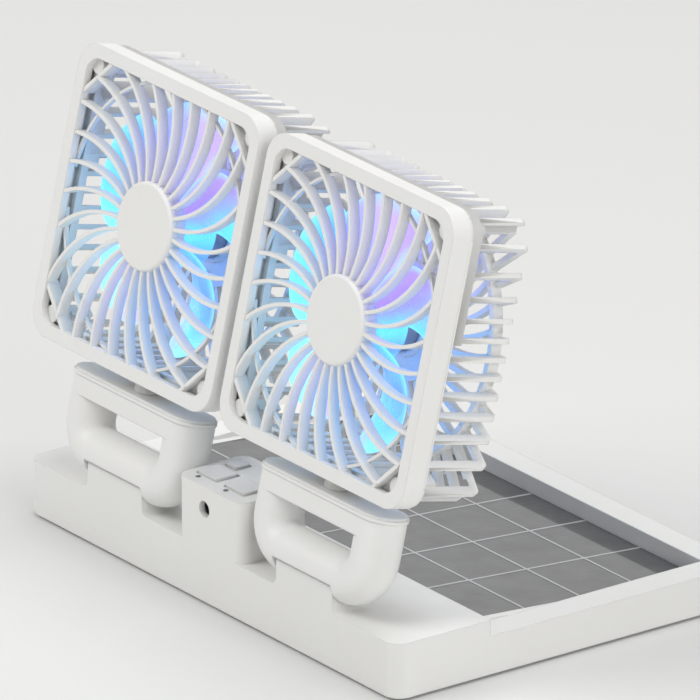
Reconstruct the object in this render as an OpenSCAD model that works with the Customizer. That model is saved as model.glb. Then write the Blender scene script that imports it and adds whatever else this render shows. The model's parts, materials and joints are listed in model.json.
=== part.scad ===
// Dual-head car fan: two square fan heads on swivelling yokes, over a base with a solar panel.
// Origin: on the surface it stands on, below the centre of its overall box.
// +Z is up, +Y points to the rear and +X to the right as seen from the front.

/* [Base] */
// Width of the base across the dashboard
base_w = 220; // [215:1:260]
// Depth of the base from front to rear
base_d = 152; // [140:1:190]
// Height of the front block's top above the surface
block_h = 21.5; // [20:0.5:26]
// Depth of the front block
block_d = 41; // [38:1:50]
// Height of the tray's rim above the surface
rim_h = 15.5; // [14.5:0.5:18]
// Width of the tray's side rims
side_rim_w = 11.5; // [9:0.5:16]
// Width of the tray's rear rim
rear_rim_w = 10; // [7:0.5:14]
// Radius of the base's upright corners
base_corner_r = 6; // [4:0.5:9]
// Wall of the base housing
base_wall = 2.4; // [2:0.1:3]
// Thickness of the bottom cover
cover_t = 2; // [1.5:0.1:3]
// Height of the rubber feet below the cover
foot_h = 1; // [0.6:0.1:1.6]
// Radius of the rubber feet
foot_r = 6; // [4:0.5:9]

/* [Solar panel] */
// How far the panel's front edge stands above the side rims
panel_rise = 1.3; // [0.8:0.1:2]
// How far the panel's rear edge lies below the rim
panel_drop = 6.3; // [5.5:0.1:7]
// Width of the light margin at each side of the panel
panel_margin = 3.3; // [2:0.1:5]
// Thickness of the panel
panel_t = 1.8; // [1.2:0.1:2.2]
// Cells across the panel
cell_columns = 6; // [4:1:8]
// Cells from front to rear
cell_rows = 4; // [3:1:6]
// Width of the light lines between the cells
cell_gap = 0.9; // [0.6:0.1:1.5]

/* [Control block] */
// Width of the raised control block
control_w = 38; // [37:0.2:38.2]
// Depth of the raised control block
control_d = 30; // [27:1:34]
// Height of the control block's top above the front block
control_rise = 23; // [22:0.5:26]
// Radius of its upright corners
control_corner_r = 4.5; // [2:0.5:6]
// Size of a fan button across
button_w = 11.8; // [9:0.2:12]
// Size of a fan button from front to rear
button_d = 9.4; // [7:0.2:10]
// Size of the light button across
light_button_w = 6.4; // [5:0.2:7]
// Size of the light button from front to rear
light_button_d = 6.2; // [5:0.2:7]
// How far a button stands proud
button_proud = 0.9; // [0.4:0.1:1.2]
// Travel of a button
button_travel = 0.8; // [0.6:0.1:1.2]
// Depth of the power socket's centre below the control block's top
socket_drop = 8.5; // [8:0.25:9.5]
// Radius of the power socket's bore
socket_bore_r = 2.8; // [2.6:0.05:3.2]

/* [Hinge and yoke] */
// Gap between the two heads when both face forward
head_gap = 5.2; // [5:0.2:12]
// Height of the tilt hinge above the front block
hinge_rise = 11.5; // [11:0.5:14]
// Radius of the hinge barrel
barrel_r = 7.6; // [7.4:0.1:8]
// Thickness of the yoke's skirt round the barrel
skirt_t = 0.9; // [0.8:0.1:1.1]
// Width of the base's hinge lug
lug_w = 33; // [28:1:36]
// Radius of the fillet at the foot of the lug
lug_fillet_r = 3; // [1.5:0.5:3.5]
// Radius of the hinge pin
hinge_pin_r = 2; // [1.5:0.1:2.5]
// Length of the hinge pin
hinge_pin_l = 58; // [52:1:62]
// Thickness of a friction washer
washer_t = 0.5; // [0.4:0.1:1]
// Lean of the heads in the photographed pose
rest_lean = 13.2; // [0:0.2:30]
// Lean of the heads at the rear stop
max_lean = 48.2; // [40:0.2:50]
// Lean of the heads at the front stop, leaning forward
min_lean = -6.8; // [-10:0.2:0]
// Width of the yoke
yoke_w = 73.4; // [70:0.2:73.4]
// Height of the yoke's top above the hinge
yoke_top = 27.5; // [26:0.5:29]
// Radius of the yoke's lower corners
yoke_corner_r = 19.5; // [19:0.5:22]
// Roof of the slot above the hinge
slot_roof = 18.4; // [17.5:0.1:19]
// Thickness of the yoke's top cap
cap_t = 2.2; // [1.6:0.1:3]

/* [Fan head] */
// Side of the square head
head_s = 108; // [100:1:108]
// Radius of the head's corners
head_corner_r = 10; // [6:0.5:14]
// Depth of the solid front band
band_d = 8.2; // [8:0.1:9]
// Depth of the whole head
head_d = 36; // [35:0.5:36]
// Distance of the face ahead of the hinge
face_ahead = 14.6; // [14:0.1:15]
// Height of the head's underside above the hinge
head_bottom = 34.2; // [33.6:0.1:36]
// Width of the frame round the grille
frame_w = 5; // [4:0.5:7]
// Wall of the band
band_wall = 2; // [1.6:0.1:2.6]
// Number of curved front fins
fin_count = 27; // [18:1:30]
// Thickness of a front fin
fin_t = 1.4; // [1:0.1:2]
// Depth of a front fin
fin_d = 4; // [3:0.1:5]
// Radius that a front fin curves on
fin_curve_r = 46; // [42:1:56]
// Radius of the front hub disc
hub_disc_r = 16; // [14:0.5:18]
// Radius of the ring behind the front fins
front_ring_r = 50.6; // [49:0.1:52]

/* [Rear cage] */
// Number of ribs round the cage
rib_count = 48; // [36:4:56]
// Thickness of a rib
rib_t = 1.9; // [1.4:0.1:2.4]
// Depth of a rib, inward from the outline
rib_d = 3.2; // [2.4:0.1:4]
// Depth of the ribs next to a corner
corner_rib_d = 8; // [5:0.5:9]
// Depth of the cage's wall in its upper part
cage_wall_d = 5; // [3:0.5:7]
// Height above the head's middle where that deeper wall begins
cage_wall_from = 7; // [-10:1:20]
// Number of curved fins on the cage's back
rear_fin_count = 32; // [20:2:36]
// Radius of the ring that ties the ribs
rear_ring_r = 47.5; // [46:0.5:48.5]
// How much smaller than the front the cage is, each side
cage_inset = 2; // [1.9:0.1:2.6]
// Radius of the motor plate
motor_plate_r = 16; // [15:0.5:18]

/* [Rotor and motor] */
// Number of blades
blade_count = 5; // [4:1:6]
// Radius at the blade tips
blade_tip_r = 46; // [40:0.5:47]
// Radius of the rotor hub
rotor_hub_r = 14; // [13:0.5:15]
// Depth from the face to the rotor hub's front
rotor_front = 7.2; // [7:0.1:9]
// Depth of the rotor hub
rotor_hub_d = 14; // [12:0.5:14.5]
// Thickness of a blade
blade_t = 1.6; // [1.2:0.1:2]
// Radius of the motor can
motor_r = 10.5; // [9:0.5:11]
// Radius of the motor shaft
shaft_r = 1.2; // [1:0.1:1.5]
// Radius of the swivel post's neck
post_r = 4.4; // [4:0.1:5.2]

/* [Hidden] */
$fn = 64;

white = "#e4e4e1";
dark_cell = "#606264";
grid_grey = "#c0c2c4";
rubber_grey = "#2c2d2f";
steel = "#b9bcc0";
board_green = "#2f6b48";
blade_blue = "#8fd3ff";
ring_grey = "#d6d7d5";

left = -1;
right = 1;
fit = 0.1;         // gap between fixed pieces that slot together
run = 0.05;        // radial gap of a shaft or pin that turns
air = 0.3;         // gap between pieces that pass each other
cut = 0.5;         // how far a cutter runs past a face

head_x = (head_s + head_gap) / 2;
hinge_z = block_h + hinge_rise;
control_h = block_h + control_rise;
socket_z = control_h - socket_drop;
yoke_r = barrel_r + air + skirt_t;
elbow_r = yoke_corner_r - yoke_r;
ear_x = yoke_w / 2 - yoke_r;
overhang = yoke_r - barrel_r;
front_y = (overhang - base_d) / 2;
rear_y = front_y + base_d;
shell_z = foot_h;
block_rear_y = front_y + block_d;
tray_front_y = block_rear_y;
tray_rear_y = rear_y - rear_rim_w;
tray_l = tray_rear_y - tray_front_y;
tray_half = base_w / 2 - side_rim_w;
panel_half = tray_half - panel_margin;
panel_front_z = rim_h + panel_rise;
panel_rear_z = rim_h - panel_drop;
panel_slope = atan((panel_rise + panel_drop) / tray_l);
panel_gap = 0.3;
panel_l = tray_l / cos(panel_slope);
floor_t = 1.6;
hinge_y = front_y + barrel_r;
lug_half = lug_w / 2;
lug_gap = washer_t + fit;
head_mid = head_bottom + head_s / 2;
head_half = head_s / 2;
window_half = head_half - frame_w;
cage_half = head_half - cage_inset;
journal_r = post_r - 1.2;
post_bottom = slot_roof + 0.6;
clip_t = 1;
clip_z = post_bottom + 0.8;
clip_r = journal_r + 1.6;
swivel_w = 21;
swivel_d = 11;
swivel_t = 2;
swivel_screw_x = 7.2;
swivel_screw_y = 1;
seat_d = 13.3;
cage_front = band_d;
plate_t = 2.6;
motor_back = head_d - plate_t;
motor_l = 12;
boss_r = 3.6;
screw_r = 1.3;
screw_head_r = 2.4;
screw_head_t = 1.5;
head_boss = head_half - 8.2;
head_boss_r = 3.2;
flange_t = 1.1;
post_l = 9.5;
screw_seat = 8;
front_fin_lean = -10;
front_fin_sweep = 76;
bar_outer = 67.4;
bar_inner = 60;
bar_t = 1.5;
tongue_l = 2.2;
hub_proud = 0.7;

// Base and boards
cover_top = shell_z + cover_t;
cover_lip = 1.4;
cavity_top = block_h - base_wall;
control_top_wall = 2;
control_floor_z = control_h - control_top_wall;
cavity_half = base_w / 2 - base_wall;
button_flange_t = 1.1;
button_flange = 1;
button_gap = 0.8;
left_button_x = -9.5;
right_button_x = 7;
fan_button_y = front_y + 11;
light_button_x = -11.8;
light_button_y = fan_button_y + button_d / 2 + 2 * button_flange + 0.5 + light_button_d / 2;
stem_shift = -1.2;
switch_h = 3.4;
switch_s = 6;
stem_r = 1.5;
stem_in = 0.4;
stem_l = 2.4;
switch_top = control_floor_z - fit - button_flange_t - stem_l;
board_t = 1.6;
board_top = switch_top - switch_h;
board_d = control_d - 2 * base_wall - 2 * fit;
board_w = control_w - 2 * base_wall - 2 * fit;
standoff_r = 2;
socket_x = -2.5;
socket_s = 2 * (socket_drop - control_top_wall - fit - button_flange_t - button_travel - air);
socket_l = 13;
lens_r = 0.9;
lens_y = front_y + 4.1;
lens_shift = -2.2;
front_screw_inset = 13;
front_screw_back = 10;
middle_screw_back = 34;
rear_screw_inset = 22;
front_screw_x = base_w / 2 - front_screw_inset;
front_screw_y = front_y + front_screw_back;
middle_screw_y = front_y + middle_screw_back;
rear_screw_x = base_w / 2 - rear_screw_inset;
rear_screw_y = rear_y - rear_rim_w / 2;
base_screw_places = [
    [-front_screw_x, front_screw_y], [0, middle_screw_y], [front_screw_x, front_screw_y],
    [-rear_screw_x, rear_screw_y], [0, rear_screw_y], [rear_screw_x, rear_screw_y]
];
base_screw_l = 8;
front_foot_inset = 26;
front_foot_back = 5;
rear_foot_inset = 16;
front_foot_x = base_w / 2 - front_foot_inset;
front_foot_y = front_y + front_foot_back + foot_r;
rear_foot_x = base_w / 2 - rear_foot_inset;
rear_foot_y = rear_y - rear_foot_inset - foot_r;
foot_places = [for (x = [-1, 1]) each [[x * front_foot_x, front_foot_y], [x * rear_foot_x, rear_foot_y]]];
battery_l = 56;
battery_d = 30;
battery_h = 12;
battery_gap = 14.4;
battery_back = 6;
battery_x = cavity_half - 2 * boss_r - battery_gap - battery_l;
slot_count = 7;
slot_pitch = 7;
slot_w = 2.4;
slot_l = 22;
slot_back = 50;
peg_r = 1.5;
peg_l = 4;
peg_clear = 0.2;

// 2-D and 3-D helpers
module rounded_rect(w, d, r) {
    square([w - 2 * r, d], center = true);
    square([w, d - 2 * r], center = true);
    for (x = [-1, 1]) {
        for (y = [-1, 1]) {
            translate([x * (w / 2 - r), y * (d / 2 - r)]) circle(r);
        }
    }
}

module stadium(l, r) {
    square([l - 2 * r, 2 * r], center = true);
    for (x = [-1, 1]) {
        translate([x * (l / 2 - r), 0]) circle(r);
    }
}

module ring(r_out, r_in) {
    difference() {
        circle(r_out);
        circle(r_in);
    }
}

// Runs a profile drawn in Y and Z along X, centred
module along_x(l) {
    rotate([90, 0, 90]) translate([0, 0, -l / 2]) linear_extrude(l) children();
}

// Places one fan side's pieces: origin on the hinge axis, leaning back as photographed
module on_hinge(side) {
    translate([side * head_x, hinge_y, hinge_z]) rotate([-rest_lean, 0, 0]) children();
}

// A slab parallel to the head's face, from a depth behind the face and this thick
module face_slab(depth, t) {
    translate([0, 0, -depth - t]) linear_extrude(t) children();
}

// Places what is drawn on the face: X across, Y up the face, -Z into the head
module on_face(side) {
    on_hinge(side) translate([0, -face_ahead, head_mid]) rotate([90, 0, 0]) children();
}

// Base pieces
module base_outline(inset) {
    translate([0, front_y + base_d / 2]) {
        rounded_rect(base_w - 2 * inset, base_d - 2 * inset, max(base_corner_r - inset, 1));
    }
}

module block_outline() {
    intersection() {
        base_outline(0);
        translate([-base_w / 2, front_y]) square([base_w, block_d]);
    }
}

module control_outline(inset) {
    r = max(control_corner_r - inset, 1);
    translate([0, front_y + control_d / 2]) {
        rounded_rect(control_w - 2 * inset, control_d - 2 * inset, r);
    }
}

// Side view of a hinge lug with the fillets at its foot
module lug_side() {
    translate([hinge_y, hinge_z]) circle(barrel_r);
    translate([front_y, block_h - cut]) square([2 * barrel_r, hinge_z - block_h + cut]);
}

// Front view of a hinge lug, wider at its foot by the fillets
module lug_front() {
    r = lug_fillet_r;
    translate([-lug_half, block_h - cut]) square([lug_w, hinge_z + barrel_r - block_h + cut]);
    for (side = [-1, 1]) {
        difference() {
            translate([side * (lug_half + r / 2), block_h + r / 2 - cut / 2]) {
                square([r, r + cut], center = true);
            }
            translate([side * (lug_half + r), block_h + r]) circle(r);
        }
    }
}

module lug(side) {
    translate([side * head_x, 0, 0]) intersection() {
        along_x(lug_w + 4 * lug_fillet_r) lug_side();
        translate([0, front_y + 2 * barrel_r, 0]) rotate([90, 0, 0]) {
            linear_extrude(2 * barrel_r) lug_front();
        }
    }
}

// Side view of the space above a plane parallel to the panel, this far below its face
module over_panel(depth) {
    polygon([
        [tray_front_y, panel_front_z - depth], [tray_rear_y, panel_rear_z - depth],
        [tray_rear_y, block_h + cut], [tray_front_y, block_h + cut]
    ]);
}

// Space over the panel and its margins, with the pocket that the panel lies in
module tray_recess() {
    along_x(2 * tray_half) over_panel(0);
    along_x(2 * panel_half) over_panel(panel_t);
}

// Raised bed that carries the panel's front edge above the side rims
module panel_bed() {
    bed_l = tray_l * panel_rise / (panel_rise + panel_drop) + 1;
    translate([-tray_half, tray_front_y - cut, rim_h - 1]) {
        cube([2 * tray_half, bed_l + cut, panel_rise + 1]);
    }
}

// Hollow of the base, open below for the cover
module base_cavity() {
    under_front = panel_front_z - panel_t - floor_t;
    under_rear = panel_rear_z - panel_t - floor_t;
    along_x(2 * cavity_half) polygon([
        [front_y + base_wall, shell_z - cut], [front_y + base_wall, cavity_top],
        [block_rear_y - base_wall, cavity_top], [block_rear_y - base_wall, under_front],
        [rear_y - base_wall, under_rear], [rear_y - base_wall, shell_z - cut]
    ]);
    translate([0, 0, cavity_top - cut]) {
        linear_extrude(control_floor_z - cavity_top + cut) control_outline(base_wall);
    }
    hollow_h = rim_h - base_wall - shell_z;
    side_hollow_w = side_rim_w - 2 * base_wall;
    for (x = [-cavity_half, cavity_half - side_hollow_w]) {
        translate([x, block_rear_y, shell_z]) {
            cube([side_hollow_w, base_d - block_d - base_wall, hollow_h]);
        }
    }
    translate([-cavity_half, tray_rear_y + base_wall, shell_z]) {
        cube([2 * cavity_half, rear_rim_w - 2 * base_wall, hollow_h]);
    }
}

module button_hole(x, y, w, d) {
    translate([x - w / 2 - button_gap / 2, y - d / 2 - button_gap / 2, control_floor_z - cut]) {
        cube([w + button_gap, d + button_gap, control_top_wall + 2 * cut]);
    }
}

module base_shell() color(white) difference() {
    union() {
        difference() {
            union() {
                translate([0, 0, shell_z]) linear_extrude(rim_h - shell_z) base_outline(0);
                translate([0, 0, shell_z]) linear_extrude(block_h - shell_z) block_outline();
                translate([0, 0, shell_z]) linear_extrude(control_h - shell_z) control_outline(0);
                panel_bed();
            }
            tray_recess();
            base_cavity();
        }
        lug(left);
        lug(right);
        for (p = base_screw_places) {
            boss_top = (p.y < 0 ? cavity_top : rim_h - base_wall) + cut;
            translate([p.x, p.y, cover_top]) cylinder(r = boss_r, h = boss_top - cover_top);
        }
        for (x = [2, 13]) {
            translate([x, front_y + control_d - base_wall - standoff_r, board_top]) {
                cylinder(r = standoff_r, h = control_floor_z + cut - board_top);
            }
        }
    }
    translate([0, 0, shell_z - cut]) linear_extrude(cover_t + cut) base_outline(cover_lip);
    for (p = base_screw_places) {
        translate([p.x, p.y, shell_z]) cylinder(r = screw_r + run, h = base_screw_l + 0.2);
    }
    for (side = [-1, 1]) {
        translate([side * head_x - lug_w, hinge_y, hinge_z]) rotate([0, 90, 0]) {
            cylinder(r = hinge_pin_r, h = 2 * lug_w);
        }
    }
    translate([socket_x, front_y - cut, socket_z]) rotate([-90, 0, 0]) {
        cylinder(r = socket_bore_r + 0.2, h = base_wall + 2 * cut);
    }
    button_hole(left_button_x, fan_button_y, button_w, button_d);
    button_hole(right_button_x, fan_button_y, button_w, button_d);
    button_hole(light_button_x, light_button_y, light_button_w, light_button_d);
    for (x = [left_button_x, right_button_x]) {
        translate([x + lens_shift, lens_y, control_floor_z - cut]) {
            cylinder(r = lens_r + run, h = control_top_wall + 2 * cut);
        }
    }
}

module base_cover() color(white) difference() {
    translate([0, 0, shell_z]) linear_extrude(cover_t) base_outline(cover_lip + fit);
    for (p = base_screw_places) {
        translate([p.x, p.y, shell_z - cut]) cylinder(r = screw_r + run, h = cover_t + 2 * cut);
        translate([p.x, p.y, shell_z - cut]) cylinder(r = screw_head_r + fit, h = cut + screw_head_t);
    }
    for (p = foot_places) {
        translate([p.x, p.y, shell_z - cut]) cylinder(r = foot_r + fit, h = cut + foot_h);
    }
    for (i = [0 : slot_count - 1]) {
        translate([(i - (slot_count - 1) / 2) * slot_pitch - slot_w / 2, front_y + slot_back, shell_z - cut]) {
            cube([slot_w, slot_l, cover_t + 2 * cut]);
        }
    }
}

module base_feet() color(rubber_grey) {
    for (p = foot_places) {
        translate([p.x, p.y, 0]) cylinder(r = foot_r, h = 2 * foot_h);
    }
}

module base_screws() color(steel) {
    for (p = base_screw_places) {
        translate([p.x, p.y, shell_z]) difference() {
            union() {
                cylinder(r = screw_head_r, h = screw_head_t);
                cylinder(r = screw_r, h = base_screw_l);
            }
            translate([-1.6, -0.3, -cut]) cube([3.2, 0.6, cut + 0.8]);
            translate([-0.3, -1.6, -cut]) cube([0.6, 3.2, cut + 0.8]);
        }
    }
}

module on_panel() {
    translate([0, tray_rear_y, panel_rear_z]) rotate([-panel_slope, 0, 0]) children();
}

module solar_panel() color(dark_cell) on_panel() {
    translate([-panel_half + fit, -panel_l + panel_gap, -panel_t + 0.02]) {
        cube([2 * (panel_half - fit), panel_l - 2 * panel_gap, panel_t - 0.02]);
    }
}

module panel_grid() color(grid_grey) on_panel() {
    pitch_x = 2 * panel_half / cell_columns;
    pitch_y = panel_l / cell_rows;
    line_h = 0.12;
    for (i = [1 : cell_columns - 1]) {
        translate([-panel_half + i * pitch_x - cell_gap / 2, -panel_l + panel_gap, 0]) {
            cube([cell_gap, panel_l - 2 * panel_gap, line_h]);
        }
    }
    for (j = [1 : cell_rows - 1]) {
        translate([-panel_half + fit, -panel_l + j * pitch_y - cell_gap / 2, 0]) {
            cube([2 * (panel_half - fit), cell_gap, line_h]);
        }
    }
}

module battery_pack() color("#4a6fa0") {
    translate([battery_x, front_y + battery_back, cover_top]) {
        cube([battery_l, battery_d, battery_h]);
    }
}

module circuit_board() color(board_green) {
    translate([0, front_y + base_wall + fit, board_top - board_t]) linear_extrude(board_t) {
        difference() {
            translate([0, board_d / 2]) rounded_rect(board_w, board_d, control_corner_r);
            translate([socket_x - socket_s / 2 - fit, -cut]) square([socket_s + 2 * fit, socket_l + cut]);
        }
    }
}

module switch_at(x, y) {
    translate([x, y, board_top]) difference() {
        translate([-switch_s / 2, -switch_s / 2, 0]) cube([switch_s, switch_s, switch_h]);
        translate([0, 0, switch_h - stem_in - button_travel - air]) {
            cylinder(r = stem_r + fit, h = stem_in + button_travel + air + cut);
        }
    }
}

module tact_switches() color(rubber_grey) {
    switch_at(left_button_x + stem_shift, fan_button_y);
    switch_at(right_button_x, fan_button_y);
    switch_at(light_button_x, light_button_y);
}

module dc_socket() color(rubber_grey) {
    translate([socket_x, front_y + base_wall, socket_z]) rotate([-90, 0, 0]) difference() {
        translate([-socket_s / 2, -socket_s / 2, 0]) cube([socket_s, socket_s, socket_l]);
        translate([0, 0, -cut]) cylinder(r = socket_bore_r, h = socket_l - 2 + cut);
        translate([0, 0, -cut]) cylinder(r = 1, h = socket_l + 2 * cut);
    }
}

module socket_pin() color(steel) {
    translate([socket_x, front_y + base_wall + 1.5, socket_z]) rotate([-90, 0, 0]) {
        cylinder(r = 1, h = socket_l - 1.5);
    }
}

module indicator_lenses() color("#e8f6ff") {
    for (x = [left_button_x, right_button_x]) {
        translate([x + lens_shift, lens_y, control_floor_z - 1]) {
            cylinder(r = lens_r, h = control_top_wall + 1.2);
        }
    }
}

// A push button with its retaining flange and the stem that works the switch below it
module push_button(x, y, w, d, shift) {
    translate([x, y, control_floor_z - fit]) {
        translate([0, 0, -button_flange_t]) linear_extrude(button_flange_t) {
            square([w + 2 * button_flange, d + 2 * button_flange], center = true);
        }
        translate([0, 0, -cut]) linear_extrude(control_top_wall + button_proud + fit + cut) {
            rounded_rect(w, d, 1.2);
        }
        translate([shift, 0, -button_flange_t - stem_l - stem_in]) {
            cylinder(r = stem_r, h = stem_l + stem_in + cut);
        }
    }
}

module left_fan_button() color(white) {
    push_button(left_button_x, fan_button_y, button_w, button_d, stem_shift);
}

module right_fan_button() color(white) {
    push_button(right_button_x, fan_button_y, button_w, button_d, 0);
}

module light_button() color(white) {
    push_button(light_button_x, light_button_y, light_button_w, light_button_d, 0);
}

// Hinge and yoke
module hinge_pin(side) color(steel) {
    translate([side * head_x - hinge_pin_l / 2, hinge_y, hinge_z]) rotate([0, 90, 0]) {
        cylinder(r = hinge_pin_r, h = hinge_pin_l);
    }
}

module hinge_washers(side) color(rubber_grey) {
    for (end = [-1, 1]) {
        translate([side * head_x + end * (lug_half + washer_t / 2), hinge_y, hinge_z]) {
            rotate([0, 90, 0]) difference() {
                cylinder(r = barrel_r - 2, h = washer_t, center = true);
                cylinder(r = hinge_pin_r + run, h = washer_t + 2 * cut, center = true);
            }
        }
    }
}

// Round bar bent into a U: the hinge end of the yoke, from the lower bar up to the top bar
module yoke_bow() {
    flat = 2 * (ear_x - elbow_r);
    translate([-flat / 2, 0, 0]) rotate([0, 90, 0]) cylinder(r = yoke_r, h = flat);
    for (side = [-1, 1]) {
        translate([side * (ear_x - elbow_r), 0, elbow_r]) rotate([90, 0, 0]) {
            rotate_extrude(angle = 90, start = side > 0 ? -90 : 180) {
                translate([elbow_r, 0]) circle(yoke_r);
            }
        }
        translate([side * ear_x, 0, elbow_r]) cylinder(r = yoke_r, h = slot_roof - elbow_r);
    }
}

// Side view of what the lug sweeps as the yoke tilts, with clearance
module lug_sweep() {
    r = barrel_r + air;
    circle(r);
    for (lean = [min_lean - 1, (min_lean + max_lean) / 2, max_lean + 1]) {
        rotate(lean) translate([fit / 2 - r, -3 * r]) square([2 * r - fit, 3 * r]);
    }
}

module cap_pegs(r, h) {
    for (side = [-1, 1]) {
        translate([side * ear_x, 0, yoke_top - cap_t - h]) cylinder(r = r, h = h + cut);
    }
}

module yoke(side) color(white) on_hinge(side) difference() {
    union() {
        yoke_bow();
        translate([0, 0, slot_roof]) {
            linear_extrude(yoke_top - cap_t - slot_roof) stadium(yoke_w, yoke_r);
        }
    }
    along_x(lug_w + 2 * lug_gap) lug_sweep();
    translate([-yoke_w, 0, 0]) rotate([0, 90, 0]) {
        cylinder(r = hinge_pin_r + run, h = yoke_w + hinge_pin_l / 2 + air);
    }
    translate([0, 0, slot_roof - cut]) cylinder(r = journal_r + run, h = yoke_top);
    translate([0, 0, slot_roof - cut]) {
        cylinder(r = clip_r + air, h = clip_z + clip_t + 2 * fit - slot_roof + cut);
    }
    cap_pegs(peg_r + run, peg_l + peg_clear);
}

module yoke_cap(side) color(white) on_hinge(side) {
    difference() {
        translate([0, 0, yoke_top - cap_t]) {
            linear_extrude(cap_t * 0.6) stadium(yoke_w + 0.8, yoke_r + 0.4);
            linear_extrude(cap_t) stadium(yoke_w - 0.6, yoke_r - 0.3);
        }
        translate([0, 0, yoke_top - cap_t - cut]) cylinder(r = journal_r + run, h = cap_t + 2 * cut);
    }
    cap_pegs(peg_r, peg_l);
}

// Post that turns in the yoke: journal, neck, and a foot plate screwed under the head
module swivel_post(side) color(white) on_hinge(side) difference() {
    union() {
        translate([0, 0, post_bottom]) cylinder(r = journal_r, h = yoke_top + 1 - post_bottom);
        translate([0, 0, yoke_top + run]) cylinder(r = post_r, h = head_bottom - yoke_top - run);
        translate([0, 0, head_bottom - swivel_t]) {
            linear_extrude(swivel_t) rounded_rect(swivel_w, swivel_d, 3);
        }
    }
    translate([0, 0, clip_z]) difference() {
        cylinder(r = journal_r + cut, h = clip_t + fit);
        cylinder(r = journal_r - 0.8, h = clip_t + fit);
    }
    translate([0, 0, post_bottom - cut]) cylinder(r = 1.5, h = head_bottom);
    for (x = [-swivel_screw_x, swivel_screw_x]) {
        translate([x, swivel_screw_y, head_bottom - swivel_t - cut]) {
            cylinder(r = screw_r + run, h = swivel_t + 2 * cut);
        }
    }
}

module swivel_clip(side) color(steel) on_hinge(side) {
    translate([0, 0, clip_z + fit / 2]) linear_extrude(clip_t) difference() {
        circle(clip_r);
        circle(journal_r - 0.8 + run);
        translate([-1.2, 0]) square([2.4, clip_r + cut]);
    }
}

module swivel_screws(side) color(steel) on_hinge(side) {
    for (x = [-swivel_screw_x, swivel_screw_x]) {
        translate([x, swivel_screw_y, head_bottom - swivel_t]) {
            translate([0, 0, -screw_head_t]) cylinder(r = screw_head_r, h = screw_head_t);
            translate([0, 0, -cut]) cylinder(r = screw_r, h = cut + 5);
        }
    }
}

// Fan head
// One curved front fin: an arc that leaves the hub disc nearly radially and bends on
module front_fin() {
    start = hub_disc_r - 1;
    centre = [start - fin_curve_r * sin(front_fin_lean), fin_curve_r * cos(front_fin_lean)];
    translate([centre.x, centre.y, -fin_d - 0.3]) rotate([0, 0, front_fin_lean - 90]) {
        rotate_extrude(angle = front_fin_sweep) {
            translate([fin_curve_r - fin_t / 2, 0]) square([fin_t, fin_d]);
        }
    }
}

// Region inside the corner bars, where the fins may reach
module fin_window() {
    side = 2 * (bar_inner - bar_t / 2);
    intersection() {
        rounded_rect(2 * window_half + 1, 2 * window_half + 1, head_corner_r - 3);
        rotate(45) square(side + 2 * bar_t - 0.4, center = true);
    }
}

// Side view of half the hub disc, with its rounded rim
module hub_side() {
    edge = 1.3;
    disc_t = 2.8;
    translate([0, -disc_t]) square([hub_disc_r - edge, disc_t]);
    translate([0, -disc_t]) square([hub_disc_r, disc_t - edge]);
    translate([hub_disc_r - edge, -edge]) circle(edge);
}

// A straight bar across one corner at this distance from the middle
module corner_bar(distance) {
    translate([distance - bar_t / 2, -head_half]) square([bar_t, head_s]);
}

module front_outer() {
    edge = 1.6;
    intersection() {
        face_slab(0, band_d) rounded_rect(head_s, head_s, head_corner_r);
        for (turn = [0, 90]) {
            rotate([0, 0, turn]) rotate([90, 0, 0]) translate([0, 0, -head_s]) {
                linear_extrude(2 * head_s) {
                    translate([-head_half, -band_d]) square([head_s, band_d - edge]);
                    translate([-head_half + edge, -band_d]) square([head_s - 2 * edge, band_d]);
                    for (side = [-1, 1]) {
                        translate([side * (head_half - edge), -edge]) circle(edge);
                    }
                }
            }
        }
    }
}

module front_grille(side) color(white) on_face(side) difference() {
    grille_body();
    for (x = [-1, 1]) {
        for (y = [-1, 1]) {
            translate([x * head_boss, y * head_boss, 0]) face_slab(3.8, band_d) circle(screw_r + run);
        }
    }
}

// The front grille without its screw holes
module grille_body() {
    difference() {
        front_outer();
        face_slab(3, band_d) {
            rounded_rect(head_s - 2 * band_wall, head_s - 2 * band_wall, head_corner_r - band_wall);
        }
        face_slab(-cut, 3 + 2 * cut) {
            rounded_rect(2 * window_half, 2 * window_half, head_corner_r - 3);
        }
    }
    intersection() {
        for (i = [0 : fin_count - 1]) {
            rotate(360 / fin_count * i) front_fin();
        }
        face_slab(0, fin_d + 1) fin_window();
    }
    translate([0, 0, hub_proud]) rotate_extrude() hub_side();
    face_slab(2, 4) ring(hub_disc_r - 0.4, hub_disc_r - 2);
    intersection() {
        face_slab(3.1, 1.6) ring(front_ring_r + 0.6, front_ring_r - 0.6);
        face_slab(0, 6) rounded_rect(2 * window_half + 1, 2 * window_half + 1, head_corner_r - 3);
    }
    intersection() {
        union() {
            for (turn = [45 : 90 : 315]) {
                rotate(turn) {
                    face_slab(0.6, 5) corner_bar(bar_outer);
                    face_slab(0.6, 5) corner_bar(bar_inner);
                    face_slab(4.4, 1.4) translate([bar_inner, -head_half]) square([head_half, head_s]);
                }
            }
        }
        face_slab(0, 8) rounded_rect(2 * window_half + 1, 2 * window_half + 1, head_corner_r - 3);
    }
    for (x = [-1, 1]) {
        for (y = [-1, 1]) {
            translate([x * head_boss, y * head_boss, 0]) {
                face_slab(2.6, band_d - 2.6) circle(head_boss_r);
            }
        }
    }
}

function outline_reach(angle) = cage_half / max(abs(cos(angle)), abs(sin(angle)));
function by_corner(angle) = angle % 90 > 43 && angle % 90 < 56;

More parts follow.
